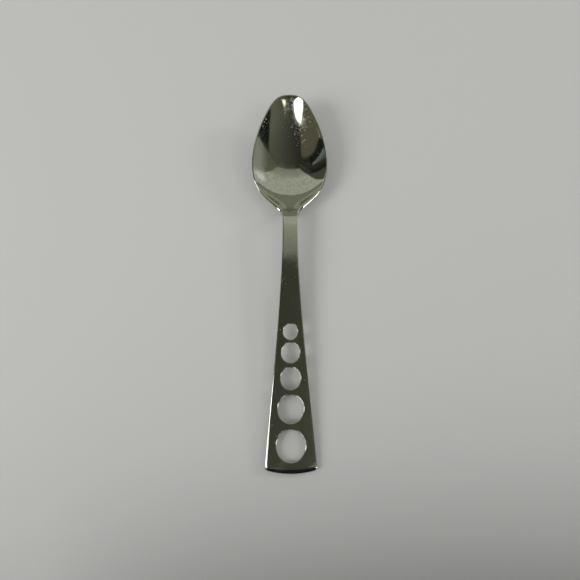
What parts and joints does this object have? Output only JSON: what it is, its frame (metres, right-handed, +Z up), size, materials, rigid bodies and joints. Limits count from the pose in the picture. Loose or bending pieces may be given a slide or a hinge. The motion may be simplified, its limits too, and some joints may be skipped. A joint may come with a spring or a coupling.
{
  "type": "pierced dinner spoon",
  "caption": "One-piece stainless steel table spoon with an egg-shaped bowl, an arched neck and a flat handle that widens to its end and is pierced with a row of graded oval holes.",
  "frame": {"origin": "on the table that the spoon lies on, under the middle of its length and width", "axes": "+Y from the handle end to the bowl tip, +X across the spoon, +Z up out of the bowl"},
  "size_m": [0.0412, 0.2, 0.0154],
  "materials": {
    "polished_steel": "mirror-polished stainless steel with fine wear scratches"
  },
  "bodies": {
    "root": {"spoon": "polished_steel"}
  },
  "joints": []
}
